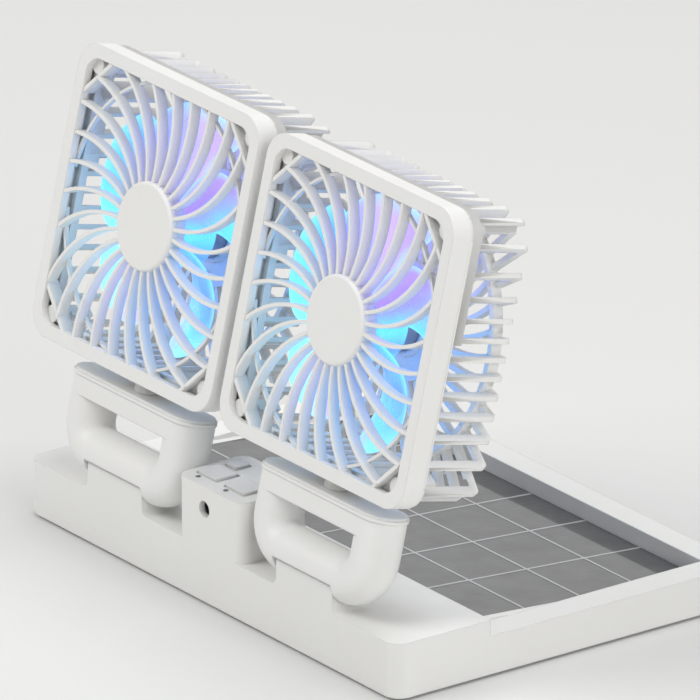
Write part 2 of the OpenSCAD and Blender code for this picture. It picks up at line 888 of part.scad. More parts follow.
// One rib of the cage: along the side from the band to the back, then inward to the ring
module cage_rib(angle) {
    reach = min(outline_reach(angle), cage_half * 1.414 - 4.2);
    inner = rear_ring_r;
    round_r = 2;
    depth = by_corner(angle) ? corner_rib_d : rib_d;
    rotate([0, 0, angle]) rotate([90, 0, 0]) translate([0, 0, -rib_t / 2]) linear_extrude(rib_t) {
        translate([reach - depth, -head_d + round_r]) square([depth, head_d - cage_front - round_r - 0.5]);
        translate([inner, -head_d]) square([reach - inner - round_r, rib_d]);
        translate([reach - round_r, -head_d + round_r]) circle(round_r);
    }
}

// One curved fin on the cage's back, from the motor plate to the ring
module rear_fin() {
    start = motor_plate_r - 1;
    lean = 4;
    curve_r = 62;
    centre = [start - curve_r * sin(lean), curve_r * cos(lean)];
    translate([centre.x, centre.y, -head_d]) rotate([0, 0, lean - 90]) {
        rotate_extrude(angle = 34.5) {
            translate([curve_r - rib_t / 2, 0]) square([rib_t, rib_d]);
        }
    }
}

// The cage's frame as seen from the front, with this outer side
module cage_frame(outer) {
    inner = 2 * (cage_half - rib_d);
    difference() {
        rounded_rect(outer, outer, head_corner_r - (head_s - outer) / 2);
        rounded_rect(inner, inner, head_corner_r - 3);
    }
}

module rear_cage(side) color(white) difference() {
    union() {
        on_face(side) cage_body();
        on_hinge(side) swivel_seat();
    }
    on_face(side) {
        for (x = [-1, 1]) {
            for (y = [-1, 1]) {
                translate([x * head_boss, y * head_boss, 0]) {
                    face_slab(cage_front - 4, head_d) circle(screw_r + run);
                    face_slab(cage_front + screw_seat, head_d) circle(screw_head_r + fit);
                }
            }
        }
        face_slab(head_d - plate_t - cut, plate_t + 2 * cut) circle(shaft_r + run);
    }
    on_hinge(side) {
        translate([0, 0, head_bottom - cut]) cylinder(r = 1.5, h = 6);
        for (x = [-swivel_screw_x, swivel_screw_x]) {
            translate([x, swivel_screw_y, head_bottom - cut]) cylinder(r = screw_r + run, h = 3.2 + cut);
        }
    }
}

// The cage without its screw holes
module cage_body() {
    face_slab(cage_front, flange_t) cage_frame(head_s - 0.6);
    face_slab(cage_front, cage_wall_d) intersection() {
        cage_frame(head_s - 1.2);
        translate([-head_half, cage_wall_from]) square([head_s, head_s]);
    }
    face_slab(cage_front - tongue_l, tongue_l + fit) difference() {
        cage_frame(head_s - 2 * band_wall - 2 * fit);
        for (x = [-1, 1]) {
            for (y = [-1, 1]) {
                translate([x * head_boss, y * head_boss]) circle(head_boss_r + fit);
            }
        }
    }
    for (i = [0 : rib_count - 1]) {
        cage_rib(360 / rib_count * (i + 0.2));
    }
    intersection() {
        for (i = [0 : rear_fin_count - 1]) {
            rotate(360 / rear_fin_count * i) rear_fin();
        }
        face_slab(head_d - 4, 4) circle(rear_ring_r);
    }
    face_slab(head_d - 5.2, 4.4) ring(rear_ring_r + 1, rear_ring_r - 1);
    face_slab(head_d - plate_t, plate_t) circle(motor_plate_r);
    face_slab(motor_back - 4, 4.4) ring(motor_r + 2, motor_r + fit);
    for (x = [-1, 1]) {
        for (y = [-1, 1]) {
            translate([x * head_boss, y * head_boss, 0]) {
                face_slab(cage_front, post_l) circle(head_boss_r);
            }
        }
    }
}

// Plate along the cage's underside that the swivel post is screwed to
module swivel_seat() {
    front = cage_front - face_ahead + run;
    translate([-swivel_w / 2 - 1, front, head_bottom]) cube([swivel_w + 2, seat_d, 4.2]);
}

module head_screws(side) color(steel) on_face(side) {
    for (x = [-1, 1]) {
        for (y = [-1, 1]) {
            translate([x * head_boss, y * head_boss, 0]) {
                face_slab(4.2, cage_front + screw_seat - 4) circle(screw_r);
                face_slab(cage_front + screw_seat, screw_head_t) circle(screw_head_r);
            }
        }
    }
}

// Motor, lamps and rotor
module motor(side) color(steel) on_face(side) difference() {
    union() {
        face_slab(motor_back - motor_l, motor_l) circle(motor_r);
        face_slab(motor_back - motor_l - 1.4, 1.5) circle(3.4);
    }
    face_slab(0, motor_back + cut) circle(shaft_r + run);
}

module motor_shaft(side) color(steel) on_face(side) {
    face_slab(rotor_front + 2, motor_back - rotor_front - 2.4) circle(shaft_r);
}

module led_board(side) color(board_green) on_face(side) {
    lamp = 2.8;
    board_r = 21;
    back = head_d - rib_d - fit;
    face_slab(back - 1.4, 1.4) ring(board_r, motor_r + 2 + fit);
    for (i = [0 : 5]) {
        rotate(60 * i + 30) translate([board_r - 3.6, 0, 0]) {
            face_slab(back - 2.6, 1.3) square(lamp, center = true);
        }
    }
}

hub_face_t = 5;
collar_l = 3;
collar_r = 3.4;

// Points of one blade: rows run from hub to tip, columns from leading to trailing edge
blade_rows = 9;
blade_columns = 7;
blade_phase = 8;
blade_root_r = rotor_hub_r - 1.2;

function row_share(i) = i / (blade_rows - 1);
function row_r(i) = blade_root_r + (blade_tip_r - blade_root_r) * row_share(i);
function tip_round(i) = sqrt(max(0.16, 1 - pow(max(0, row_share(i) - 0.55) / 0.47, 2.4)));
function half_chord(i) = (25 + 7 * row_share(i)) * tip_round(i);
function sweep_angle(i) = blade_phase + 26 - 30 * row_share(i) * row_share(i);
function blade_depth(i, j) =
    let (pitch = 12.4 - 4.2 * row_share(i))
    rotor_front + 1 + rotor_hub_d / 2 - 1 + pitch * tip_round(i) * (0.5 - j / (blade_columns - 1));
function blade_point(i, j, under) =
    let (
        a = sweep_angle(i) + half_chord(i) * (2 * j / (blade_columns - 1) - 1),
        belly = 1.6 * sin(180 * j / (blade_columns - 1)),
        z = -blade_depth(i, j) + belly - (under ? blade_t * (1 - 0.35 * row_share(i)) : 0)
    )
    [row_r(i) * cos(a), row_r(i) * sin(a), z];

function grid_index(i, j, under) = (under ? blade_rows * blade_columns : 0) + i * blade_columns + j;

module blade() {
    top = [for (i = [0 : blade_rows - 1]) for (j = [0 : blade_columns - 1]) blade_point(i, j, false)];
    low = [for (i = [0 : blade_rows - 1]) for (j = [0 : blade_columns - 1]) blade_point(i, j, true)];
    cells = [for (i = [0 : blade_rows - 2]) for (j = [0 : blade_columns - 2]) [i, j]];
    last_i = blade_rows - 1;
    last_j = blade_columns - 1;
    faces = concat(
        [for (c = cells) [for (k = [[1, 1], [1, 0], [0, 0]]) grid_index(c[0] + k[0], c[1] + k[1], false)]],
        [for (c = cells) [for (k = [[0, 1], [1, 1], [0, 0]]) grid_index(c[0] + k[0], c[1] + k[1], false)]],
        [for (c = cells) [for (k = [[0, 0], [1, 0], [1, 1]]) grid_index(c[0] + k[0], c[1] + k[1], true)]],
        [for (c = cells) [for (k = [[0, 0], [1, 1], [0, 1]]) grid_index(c[0] + k[0], c[1] + k[1], true)]],
        [for (i = [0 : last_i - 1]) each strip(grid_pair(i, 0), grid_pair(i + 1, 0))],
        [for (i = [0 : last_i - 1]) each strip(grid_pair(i + 1, last_j), grid_pair(i, last_j))],
        [for (j = [0 : last_j - 1]) each strip(grid_pair(0, j + 1), grid_pair(0, j))],
        [for (j = [0 : last_j - 1]) each strip(grid_pair(last_i, j), grid_pair(last_i, j + 1))]
    );
    polyhedron(points = concat(top, low), faces = faces, convexity = 6);
}

function grid_pair(i, j) = [grid_index(i, j, false), grid_index(i, j, true)];
function strip(a, b) = [[a[0], b[0], b[1]], [a[0], b[1], a[1]]];

module rotor(side) color(blade_blue) on_face(side) {
    difference() {
        union() {
            face_slab(rotor_front, rotor_hub_d) circle(rotor_hub_r);
            for (i = [0 : blade_count - 1]) {
                rotate(360 / blade_count * i) blade();
            }
        }
        face_slab(rotor_front + hub_face_t, rotor_hub_d) circle(rotor_hub_r - 2);
        face_slab(rotor_front + 2, rotor_hub_d) circle(shaft_r);
    }
    face_slab(rotor_front + hub_face_t - cut, collar_l) ring(collar_r, shaft_r);
}

base_shell();
base_cover();
base_feet();
base_screws();
solar_panel();
panel_grid();
battery_pack();
circuit_board();
tact_switches();
dc_socket();
socket_pin();
indicator_lenses();
left_fan_button();
right_fan_button();
light_button();
hinge_pin(left);  // left_hinge_pin
hinge_pin(right);  // right_hinge_pin
hinge_washers(left);  // left_hinge_washers
hinge_washers(right);  // right_hinge_washers
yoke(left);  // left_yoke
yoke(right);  // right_yoke
yoke_cap(left);  // left_yoke_cap
yoke_cap(right);  // right_yoke_cap
swivel_post(left);  // left_swivel_post
swivel_post(right);  // right_swivel_post
swivel_clip(left);  // left_swivel_clip
swivel_clip(right);  // right_swivel_clip
swivel_screws(left);  // left_swivel_screws
swivel_screws(right);  // right_swivel_screws
front_grille(left);  // left_front_grille
front_grille(right);  // right_front_grille
rear_cage(left);  // left_rear_cage
rear_cage(right);  // right_rear_cage
head_screws(left);  // left_head_screws
head_screws(right);  // right_head_screws
motor(left);  // left_motor
motor(right);  // right_motor
led_board(left);  // left_led_board
led_board(right);  // right_led_board
motor_shaft(left);  // left_motor_shaft
motor_shaft(right);  // right_motor_shaft
rotor(left);  // left_rotor
rotor(right);  // right_rotor
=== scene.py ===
"""Dual-head car fan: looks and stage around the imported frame. Metres, frame as in the CAD."""
import json
import math

import bmesh
import bpy
from mathutils import Matrix, Vector


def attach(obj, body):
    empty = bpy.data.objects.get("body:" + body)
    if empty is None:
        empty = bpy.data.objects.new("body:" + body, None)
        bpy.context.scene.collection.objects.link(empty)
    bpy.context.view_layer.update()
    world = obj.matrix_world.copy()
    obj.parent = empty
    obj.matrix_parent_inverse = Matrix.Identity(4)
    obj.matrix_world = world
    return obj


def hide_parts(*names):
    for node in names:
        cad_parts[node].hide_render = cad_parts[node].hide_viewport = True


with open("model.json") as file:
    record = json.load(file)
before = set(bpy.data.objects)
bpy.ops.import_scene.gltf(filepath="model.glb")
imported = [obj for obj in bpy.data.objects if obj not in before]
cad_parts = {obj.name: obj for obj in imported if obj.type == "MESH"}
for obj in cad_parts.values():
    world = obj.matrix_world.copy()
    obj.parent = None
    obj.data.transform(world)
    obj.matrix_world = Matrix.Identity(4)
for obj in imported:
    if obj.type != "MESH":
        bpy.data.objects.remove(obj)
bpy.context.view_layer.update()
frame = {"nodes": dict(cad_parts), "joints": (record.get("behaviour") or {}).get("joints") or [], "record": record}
NODES = frame["nodes"]
JOINTS = {joint["name"]: joint for joint in frame["joints"]}
MM = 0.001
SIDES = ("left", "right")

# ---------------------------------------------------------------- materials

MIX_A, MIX_B, MIX_RESULT = 6, 7, 2  # colour sockets of the mix node
BEVEL_SAMPLES = 6


class Shader:
    """A Principled material with short calls for the nodes that the finishes share."""

    def __init__(self, name, color, roughness, **sockets):
        self.mat = bpy.data.materials.new(name)
        self.mat.use_nodes = True
        self.tree = self.mat.node_tree
        self.bsdf = self.tree.nodes["Principled BSDF"]
        self.set("Base Color", (*color, 1))
        self.set("Roughness", roughness)
        for key, value in sockets.items():
            self.set(key.replace("_", " "), value)
        self.coords = self.add("ShaderNodeTexCoord").outputs["Object"]

    def set(self, socket, value):
        """A constant, or a link where value is another node's socket, on the shader itself."""
        self.feed(self.bsdf.inputs[socket], value)

    def add(self, kind, **inputs):
        node = self.tree.nodes.new(kind)
        for key, value in inputs.items():
            self.feed(node.inputs[key.replace("_", " ")], value)
        return node

    def feed(self, socket, value):
        if isinstance(value, bpy.types.NodeSocket):
            self.tree.links.new(value, socket)
        else:
            socket.default_value = value

    def noise(self, scale, detail=2.0, rough=0.5, vector=None):
        vector = vector or self.coords
        node = self.add("ShaderNodeTexNoise", Vector=vector, Scale=scale, Detail=detail, Roughness=rough)
        return node.outputs["Fac"]

    def ramp(self, fac, stops):
        node = self.tree.nodes.new("ShaderNodeValToRGB")
        points = node.color_ramp.elements
        while len(points) < len(stops):
            points.new(0.5)
        for point, (at, color) in zip(points, stops):
            point.position = at
            point.color = (*color, 1)
        self.feed(node.inputs["Fac"], fac)
        return node.outputs["Color"]

    def spread(self, fac, low, high, start=0.3, end=0.7):
        """Stretches fac between start and end over low to high, and holds it there."""
        node = self.tree.nodes.new("ShaderNodeMapRange")
        node.clamp = True
        for key, value in (("From Min", start), ("From Max", end), ("To Min", low), ("To Max", high)):
            node.inputs[key].default_value = value
        self.feed(node.inputs["Value"], fac)
        return node.outputs["Result"]

    def math(self, operation, first, second=0.0):
        node = self.tree.nodes.new("ShaderNodeMath")
        node.operation = operation
        self.feed(node.inputs[0], first)
        self.feed(node.inputs[1], second)
        return node.outputs[0]

    def mix(self, fac, first, second):
        node = self.tree.nodes.new("ShaderNodeMix")
        node.data_type = "RGBA"
        self.feed(node.inputs[0], fac)
        for index, value in ((MIX_A, first), (MIX_B, second)):
            self.feed(node.inputs[index], (*value, 1) if isinstance(value, tuple) else value)
        return node.outputs[MIX_RESULT]

    def bump(self, *layers, edge=0.0):
        """Stacks (height, strength, distance) layers, over softened edges where edge is given."""
        normal = None
        if edge:
            bevel = self.add("ShaderNodeBevel", Radius=edge)
            bevel.samples = BEVEL_SAMPLES
            normal = bevel.outputs["Normal"]
        for height, strength, distance in layers:
            node = self.add("ShaderNodeBump", Height=height, Strength=strength, Distance=distance)
            if normal:
                self.tree.links.new(normal, node.inputs["Normal"])
            normal = node.outputs["Normal"]
        self.tree.links.new(normal, self.bsdf.inputs["Normal"])


def scaled(color, factor):
    return tuple(part * factor for part in color)


def moulded_white(name, tint, roughness, edge):
    """Injection-moulded ABS: faint spark-eroded grain, soft shade variation, dust and smudges."""
    warm_parts = (0.985, 0.975, 0.955)
    s = Shader(name, tint, roughness, Specular_IOR_Level=0.42)
    warm = tuple(part * warmth for part, warmth in zip(tint, warm_parts))
    base = s.mix(s.spread(s.noise(scale=28.0, detail=3.0), low=0.0, high=0.55), tint, warm)
    dust = s.spread(s.noise(scale=140.0, detail=4.0, rough=0.65), low=0.0, high=0.16, start=0.55, end=0.80)
    s.set("Base Color", s.mix(dust, base, scaled(tint, 0.86)))
    smudge = s.noise(scale=46.0, detail=3.0, rough=0.6)
    s.set("Roughness", s.spread(smudge, low=roughness - 0.06, high=roughness + 0.09))
    grain = (s.noise(scale=5200.0, detail=1.0), 0.06, 0.06 * MM)
    waves = (s.noise(scale=900.0), 0.035, 0.12 * MM)
    s.bump(grain, waves, edge=edge)
    return s.mat


def metal(name, tint, roughness, stretch):
    """Plated steel with fine drawing marks and a few dull spots."""
    s = Shader(name, tint, roughness, Metallic=1.0)
    mapping = s.add("ShaderNodeMapping", Vector=s.coords, Scale=stretch)
    marks = s.noise(scale=6.0, detail=3.0, rough=0.6, vector=mapping.outputs["Vector"])
    dull = s.noise(scale=600.0, detail=3.0, rough=0.6)
    s.set("Base Color", s.mix(s.spread(dull, low=0.0, high=0.4), tint, scaled(tint, 0.7)))
    s.set("Roughness", s.spread(marks, low=roughness - 0.07, high=roughness + 0.12))
    s.bump((marks, 0.10, 0.04 * MM), edge=0.2 * MM)
    return s.mat


def mottled(name, tint, roughness, grain, shades, share, rough_range, relief, edge=0.0, **sockets):
    """One noise, with its scale, detail and roughness in grain, shifts shade, gloss and relief.

    share is how far the shade goes from the first of shades to the second, and relief holds the
    strength and the distance of the bump.
    """
    s = Shader(name, tint, roughness, **sockets)
    spots = s.noise(*grain)
    s.set("Base Color", s.mix(s.spread(spots, 0.0, share), *shades))
    s.set("Roughness", s.spread(spots, *rough_range))
    s.bump((spots, *relief), edge=edge)
    return s.mat


def rubber_black():
    s = Shader("rubber", (0.035, 0.035, 0.037), 0.78, Specular_IOR_Level=0.3)
    worn = s.noise(scale=240.0, detail=4.0, rough=0.6)
    s.set("Base Color", s.mix(s.spread(worn, 0.0, 0.5), (0.03, 0.03, 0.032), (0.085, 0.083, 0.08)))
    s.set("Roughness", s.spread(worn, 0.7, 0.88))
    s.bump((s.noise(scale=3000.0), 0.2, 0.1 * MM))
    return s.mat


def solar_cells():
    """Dark cells under glossy laminate, with faint collector lines across them."""
    stripe_pitch = 3.2 * MM
    dark, pale = (0.072, 0.074, 0.077), (0.086, 0.088, 0.09)
    dust_shade, line_shade = (0.20, 0.20, 0.195), (0.12, 0.122, 0.125)
    s = Shader("solar_cell", (0.075, 0.077, 0.08), 0.4, Coat_Weight=0.75, Coat_Roughness=0.05,
               Specular_IOR_Level=0.2)
    split = s.add("ShaderNodeSeparateXYZ", Vector=s.coords)
    stripes = s.math("SINE", s.math("MULTIPLY", split.outputs["X"], 2 * math.pi / stripe_pitch))
    line = s.spread(stripes, low=0.0, high=0.22, start=0.55, end=1.0)
    tone = s.mix(s.spread(s.noise(scale=130.0), 0.0, 1.0), dark, pale)
    dust = s.spread(s.noise(scale=45.0, detail=3.0), low=0.0, high=0.10, start=0.45, end=0.8)
    tone = s.mix(dust, tone, dust_shade)
    s.set("Base Color", s.mix(line, tone, line_shade))
    s.set("Roughness", s.spread(s.noise(scale=80.0), 0.34, 0.48))
    s.bump((s.noise(scale=160.0, detail=1.0), 0.03, 0.2 * MM))
    return s.mat


FINISH = {
    "base_plastic": moulded_white("base_plastic", (0.80, 0.80, 0.785), 0.46, edge=0.7 * MM),
    "head_plastic": moulded_white("head_plastic", (0.81, 0.81, 0.80), 0.44, edge=0.4 * MM),
    "arm_plastic": moulded_white("arm_plastic", (0.81, 0.81, 0.80), 0.40, edge=0.7 * MM),
    "button_plastic": moulded_white("button_plastic", (0.74, 0.74, 0.73), 0.38, edge=0.5 * MM),
    "rubber": rubber_black(),
    "bright_steel": metal("bright_steel", (0.62, 0.63, 0.64), 0.28, stretch=(40.0, 900.0, 900.0)),
    "motor_steel": metal("motor_steel", (0.5, 0.51, 0.52), 0.34, stretch=(600.0, 600.0, 40.0)),
    "solar_cell": solar_cells(),
    "cell_line": mottled(
        "cell_line", (0.42, 0.425, 0.43), 0.42, grain=(900.0, 3.0, 0.6),
        shades=((0.45, 0.455, 0.46), (0.36, 0.365, 0.37)), share=0.6, rough_range=(0.36, 0.52),
        relief=(0.05, 0.05 * MM), Coat_Weight=0.75, Coat_Roughness=0.06),
    "battery_wrap": mottled(
        "battery_wrap", (0.07, 0.16, 0.42), 0.3, grain=(180.0, 4.0, 0.6),
        shades=((0.06, 0.14, 0.38), (0.10, 0.21, 0.5)), share=0.7, rough_range=(0.22, 0.4),
        relief=(0.25, 0.4 * MM), Coat_Weight=0.3),
    "board": mottled(
        "board", (0.03, 0.2, 0.09), 0.32, grain=(1500.0, 2.0),
        shades=((0.02, 0.16, 0.07), (0.05, 0.26, 0.12)), share=1.0, rough_range=(0.26, 0.42),
        relief=(0.1, 0.05 * MM), Coat_Weight=0.4),
    "black_plastic": mottled(
        "black_plastic", (0.02, 0.02, 0.021), 0.42, grain=(1800.0, 2.0),
        shades=((0.016, 0.016, 0.017), (0.03, 0.03, 0.031)), share=1.0, rough_range=(0.36, 0.52),
        relief=(0.12, 0.06 * MM), edge=0.3 * MM),
    "lens": mottled(
        "lens", (0.10, 0.13, 0.15), 0.18, grain=(1400.0, 2.0),
        shades=((0.07, 0.10, 0.12), (0.14, 0.18, 0.20)), share=1.0, rough_range=(0.12, 0.26),
        relief=(0.06, 0.04 * MM), Coat_Weight=0.6),
}

# white solder mask, which throws the lamps' light forward
LAMP_BOARD = mottled(
    "lamp_board", (0.74, 0.76, 0.78), 0.4, grain=(1200.0, 2.0),
    shades=((0.68, 0.71, 0.74), (0.78, 0.79, 0.80)), share=1.0, rough_range=(0.32, 0.5),
    relief=(0.08, 0.05 * MM), Coat_Weight=0.3)

slot_of = {row["node"]: row["material_slot"] for row in frame["record"]["subparts"]}
for node_name, obj in NODES.items():
    finish = LAMP_BOARD if node_name.endswith("_led_board") else FINISH.get(slot_of[node_name])
    if finish:
        obj.data.materials.clear()
        obj.data.materials.append(finish)

# ---------------------------------------------------------------- heads


def face_matrix(side):
    """Frame of a head's face: local X across, Y up the face, Z out of it, origin in its middle."""
    spin = JOINTS[side + "_spin"]
    out = Vector(spin["axis"]).normalized()
    across = Vector((1, 0, 0))
    up = out.cross(across).normalized()
    rot = Matrix((across, up, out)).transposed().to_4x4()
    return Matrix.Translation(Vector(spin["pos_m"])) @ rot


def linked(name, mesh):
    """A new object of the scene with this mesh."""
    obj = bpy.data.objects.new(name, mesh)
    bpy.context.scene.collection.objects.link(obj)
    return obj


def as_mesh(bm, name):
    """Writes bm to a new mesh and frees it."""
    mesh = bpy.data.meshes.new(name)
    bm.to_mesh(mesh)
    bm.free()
    return mesh


def smooth(mesh, sharp_deg):
    for face in mesh.polygons:
        face.use_smooth = True
    mesh.set_sharp_from_angle(angle=math.radians(sharp_deg))


# ---------------------------------------------------------------- rotors

HUB_R = 14 * MM
HUB_FRONT = 7.2 * MM  # depth of the hub's front behind the face
HUB_DEPTH = 14 * MM
HUB_WALL = 1.8 * MM
HUB_STEPS = 72
BORE_R = 1.2 * MM
SOCKET_R = 3.4 * MM
# radius and depth behind the hub's front, from the shaft's bore round the outside and back
HUB_PROFILE = (
    (BORE_R, 0.1 * MM), (6 * MM, 0), (11 * MM, 0.3 * MM), (13 * MM, 1.0 * MM), (HUB_R, 2.4 * MM),
    (HUB_R, HUB_DEPTH), (HUB_R - HUB_WALL, HUB_DEPTH), (HUB_R - HUB_WALL, 4.8 * MM),
    (SOCKET_R, 5 * MM), (SOCKET_R, 7.5 * MM), (BORE_R, 7.5 * MM))

BLADES = 5
ROWS = 28
COLUMNS = 22
ROOT_R = HUB_R - 1.2 * MM
TIP_R = 46 * MM
BLADE_T = 1.6 * MM
TIP_THINNING = 0.35
EDGE_THINNING = 0.75
EDGE_POWER = 6
CAMBER = 1.6 * MM
ROOT_PITCH = 12.4 * MM  # depth from one edge to the other, at the root
PITCH_LOSS = 4.2 * MM
ROOT_ANGLE = 34.0  # degrees, of the chord's middle at the root
SWEEP = 30
ROOT_HALF_CHORD = 25  # degrees
HALF_CHORD_GAIN = 7
ROUNDING_START = 0.55  # share of the blade's length where its tip starts to round off
ROUNDING_SPAN = 0.47
ROUNDING_POWER = 2.4
LEAST_SQUARED_CHORD = 0.16
ROTOR_SHARP_DEG = 38

CYAN = (0.12, 0.62, 1.0)
BLUE = (0.12, 0.30, 1.0)
VIOLET = (0.34, 0.21, 1.0)
LILAC = (0.55, 0.40, 1.0)
AQUA = (0.28, 0.92, 1.0)
SLATE = (0.34, 0.42, 0.62)
# hues of the painted lamp light round the hub, by share of a turn
HUES = ((0.02, CYAN), (0.10, VIOLET), (0.24, LILAC), (0.36, BLUE), (0.48, CYAN),
        (0.62, AQUA), (0.72, LILAC), (0.82, CYAN), (0.90, BLUE), (0.99, CYAN))
HUE_WANDER = 0.16


def lit_blade():
    """Clear blades lit by coloured lamps, with the lamps' light painted on as emission and base colour: the
    painted hue changes round the rotor, and a painted glow shines on the rims.
    """
    # the emission paints the lamps' glow into the blades, which are no lamps
    s = Shader("lit_blade", (0.45, 0.65, 0.95), 0.22, Coat_Weight=0.4, Specular_IOR_Level=0.5,
               Emission_Strength=0.8, Transmission_Weight=0.2)
    places = {}
    for uv_map in ("turn", "petal"):
        node = s.add("ShaderNodeUVMap")
        node.uv_map = uv_map
        places[uv_map] = s.add("ShaderNodeSeparateXYZ", Vector=node.outputs["UV"]).outputs
    wander = s.math("MULTIPLY", s.math("SUBTRACT", s.noise(scale=24.0), 0.5), HUE_WANDER)
    # painted lamp light: this hue goes into the emission and, mixed with slate, into the base colour
    painted_lamp_hue = s.ramp(s.math("ADD", places["turn"]["X"], wander), HUES)
    # painted glow towards the blade's tip
    painted_rim_glow = s.spread(places["petal"]["X"], low=0.0, high=0.75, start=0.80, end=1.0)
    # painted glow along both edges of the blade
    off_middle = s.math("ABSOLUTE", s.math("SUBTRACT", places["petal"]["Y"], 0.5))
    edge = s.spread(off_middle, low=0.0, high=0.7, start=0.40, end=0.5)
    # emission: painted lamp glow, turned aqua where the tip and the edges glow
    s.set("Emission Color", s.mix(s.math("MAXIMUM", painted_rim_glow, edge), painted_lamp_hue, AQUA))
    # base colour: the painted lamp hue, mixed with slate
    s.set("Base Color", s.mix(s.spread(s.noise(scale=300.0), 0.3, 0.5), painted_lamp_hue, SLATE))
    s.set("Roughness", s.spread(s.noise(scale=90.0, detail=3.0), 0.16, 0.34))
    s.bump((s.noise(scale=1200.0), 0.05, 0.08 * MM))
    return s.mat


def blade_point(length_share, chord_share, under):
    """Point of a blade's skin: length_share runs from root to tip, chord_share across."""
    across = 2 * chord_share - 1
    radius = ROOT_R + (TIP_R - ROOT_R) * length_share
    rounding = max(0.0, (length_share - ROUNDING_START) / ROUNDING_SPAN) ** ROUNDING_POWER
    chord = math.sqrt(max(LEAST_SQUARED_CHORD, 1 - rounding))
    half_chord = (ROOT_HALF_CHORD + HALF_CHORD_GAIN * length_share) * chord
    turn = math.radians(ROOT_ANGLE - SWEEP * length_share ** 2 + half_chord * across)
    pitch = (ROOT_PITCH - PITCH_LOSS * length_share) * chord
    depth = HUB_FRONT + HUB_DEPTH / 2 + pitch * (0.5 - chord_share)
    height = CAMBER * math.sin(math.pi * chord_share) - depth
    if under:
        edge = 1 - EDGE_THINNING * across ** EDGE_POWER
        height -= BLADE_T * (1 - TIP_THINNING * length_share) * edge
    return Vector((radius * math.cos(turn), radius * math.sin(turn), height))


def revolve(bm, profile, steps):
    """Closed ring of faces through the (radius, height) points of profile."""
    rings = []
    for i in range(steps):
        turn = 2 * math.pi * i / steps
        rings.append([bm.verts.new((r * math.cos(turn), r * math.sin(turn), h)) for r, h in profile])
    for i in range(steps):
        ring, after = rings[i], rings[(i + 1) % steps]
        for k in range(len(profile)):
            nxt = (k + 1) % len(profile)
            bm.faces.new((ring[k], after[k], after[nxt], ring[nxt]))


def lay_out(bm, share):
    """Two UV maps: angle round the hub with radius, and the place on the blade."""
    whole = 2 * math.pi
    turn = bm.loops.layers.uv.new("turn")
    petal = bm.loops.layers.uv.new("petal")
    for face in bm.faces:
        middle = face.calc_center_median()
        centre = math.atan2(middle.y, middle.x) % whole
        for loop in face.loops:
            at = loop.vert.co
            step = (math.atan2(at.y, at.x) - centre + math.pi) % whole - math.pi
            loop[turn].uv = ((centre + step) / whole, math.hypot(at.x, at.y) / TIP_R)
            loop[petal].uv = share.get(loop.vert.index, (0.0, 0.5))


def add_blade(bm, turn, share):
    """One closed blade, turned round the hub; share keeps each vertex's place on it."""
    skins = []
    for under in (False, True):
        grid = []
        for r in range(ROWS):
            grid.append([])
            for c in range(COLUMNS):
                at = (r / (ROWS - 1), c / (COLUMNS - 1))
                share[len(bm.verts)] = at
                grid[r].append(bm.verts.new(turn @ blade_point(*at, under)))
        skins.append(grid)
    top, low = skins
    for r in range(ROWS - 1):
        for c in range(COLUMNS - 1):
            bm.faces.new((top[r][c], top[r + 1][c], top[r + 1][c + 1], top[r][c + 1]))
            bm.faces.new((low[r][c], low[r][c + 1], low[r + 1][c + 1], low[r + 1][c]))
    for r in range(ROWS - 1):
        for c in (0, COLUMNS - 1):
            bm.faces.new((top[r][c], top[r + 1][c], low[r + 1][c], low[r][c]))
    for c in range(COLUMNS - 1):
        for r in (0, ROWS - 1):
            bm.faces.new((top[r][c], top[r][c + 1], low[r][c + 1], low[r][c]))


def make_rotor(side, material):
    """Hub and blades with a finer skin than the solid's."""
    bm = bmesh.new()
    share = {}
    for blade in range(BLADES):
        add_blade(bm, Matrix.Rotation(2 * math.pi * blade / BLADES, 3, "Z"), share)
    revolve(bm, [(radius, -HUB_FRONT - depth) for radius, depth in HUB_PROFILE], HUB_STEPS)
    bm.verts.index_update()
    lay_out(bm, share)
    bmesh.ops.recalc_face_normals(bm, faces=bm.faces)
    rotor = linked(side + "_rotor_blades", as_mesh(bm, side + "_rotor_blades"))
    rotor.data.transform(face_matrix(side))
    rotor.data.materials.append(material)
    smooth(rotor.data, ROTOR_SHARP_DEG)
    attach(rotor, side + "_fan")
    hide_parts(side + "_rotor")


BLADE_MAT = lit_blade()
for side in SIDES:
    make_rotor(side, BLADE_MAT)

# ---------------------------------------------------------------- rear cages

CAGE_HALF = 52 * MM
CORNER_REACH = CAGE_HALF * 1.414 - 4.2 * MM  # from the middle to the rounded corner
RIB_T = 1.9 * MM
DEEP_RIB = 8 * MM
SLIM_RIB = 3.2 * MM
BOSS_END = 17.7 * MM
FLANGE_END = 9.3 * MM
BACK_BARS = 32.8 * MM
# angle of each slimmed rib round the head, with the depth where the part in front of it ends
SLIM_RIBS = ((226.5, BOSS_END), (234.0, FLANGE_END), (316.5, BOSS_END), (324.0, FLANGE_END))
CUT_OVER = 0.6 * MM
SAME_POINT = 0.001 * MM
CAGE_SHARP_DEG = 30


def rib_cuts(side):
    """One box for each slimmed rib, round the inner part that goes."""
    bm = bmesh.new()
    for angle, front in SLIM_RIBS:
        turn = math.radians(angle)
        reach = min(CAGE_HALF / max(abs(math.cos(turn)), abs(math.sin(turn))), CORNER_REACH)
        inner, outer = reach - DEEP_RIB - CUT_OVER, reach - SLIM_RIB
        size = Matrix.Diagonal((outer - inner, RIB_T + 2 * CUT_OVER, BACK_BARS - front, 1))
        place = Matrix.Translation(((inner + outer) / 2, 0, -(BACK_BARS + front) / 2))
        spin = Matrix.Rotation(turn, 4, "Z")
        bmesh.ops.create_cube(bm, size=1, matrix=spin @ place @ size)
    cuts = linked(side + "_rib_cuts", as_mesh(bm, side + "_rib_cuts"))
    cuts.matrix_world = face_matrix(side)
    return cuts


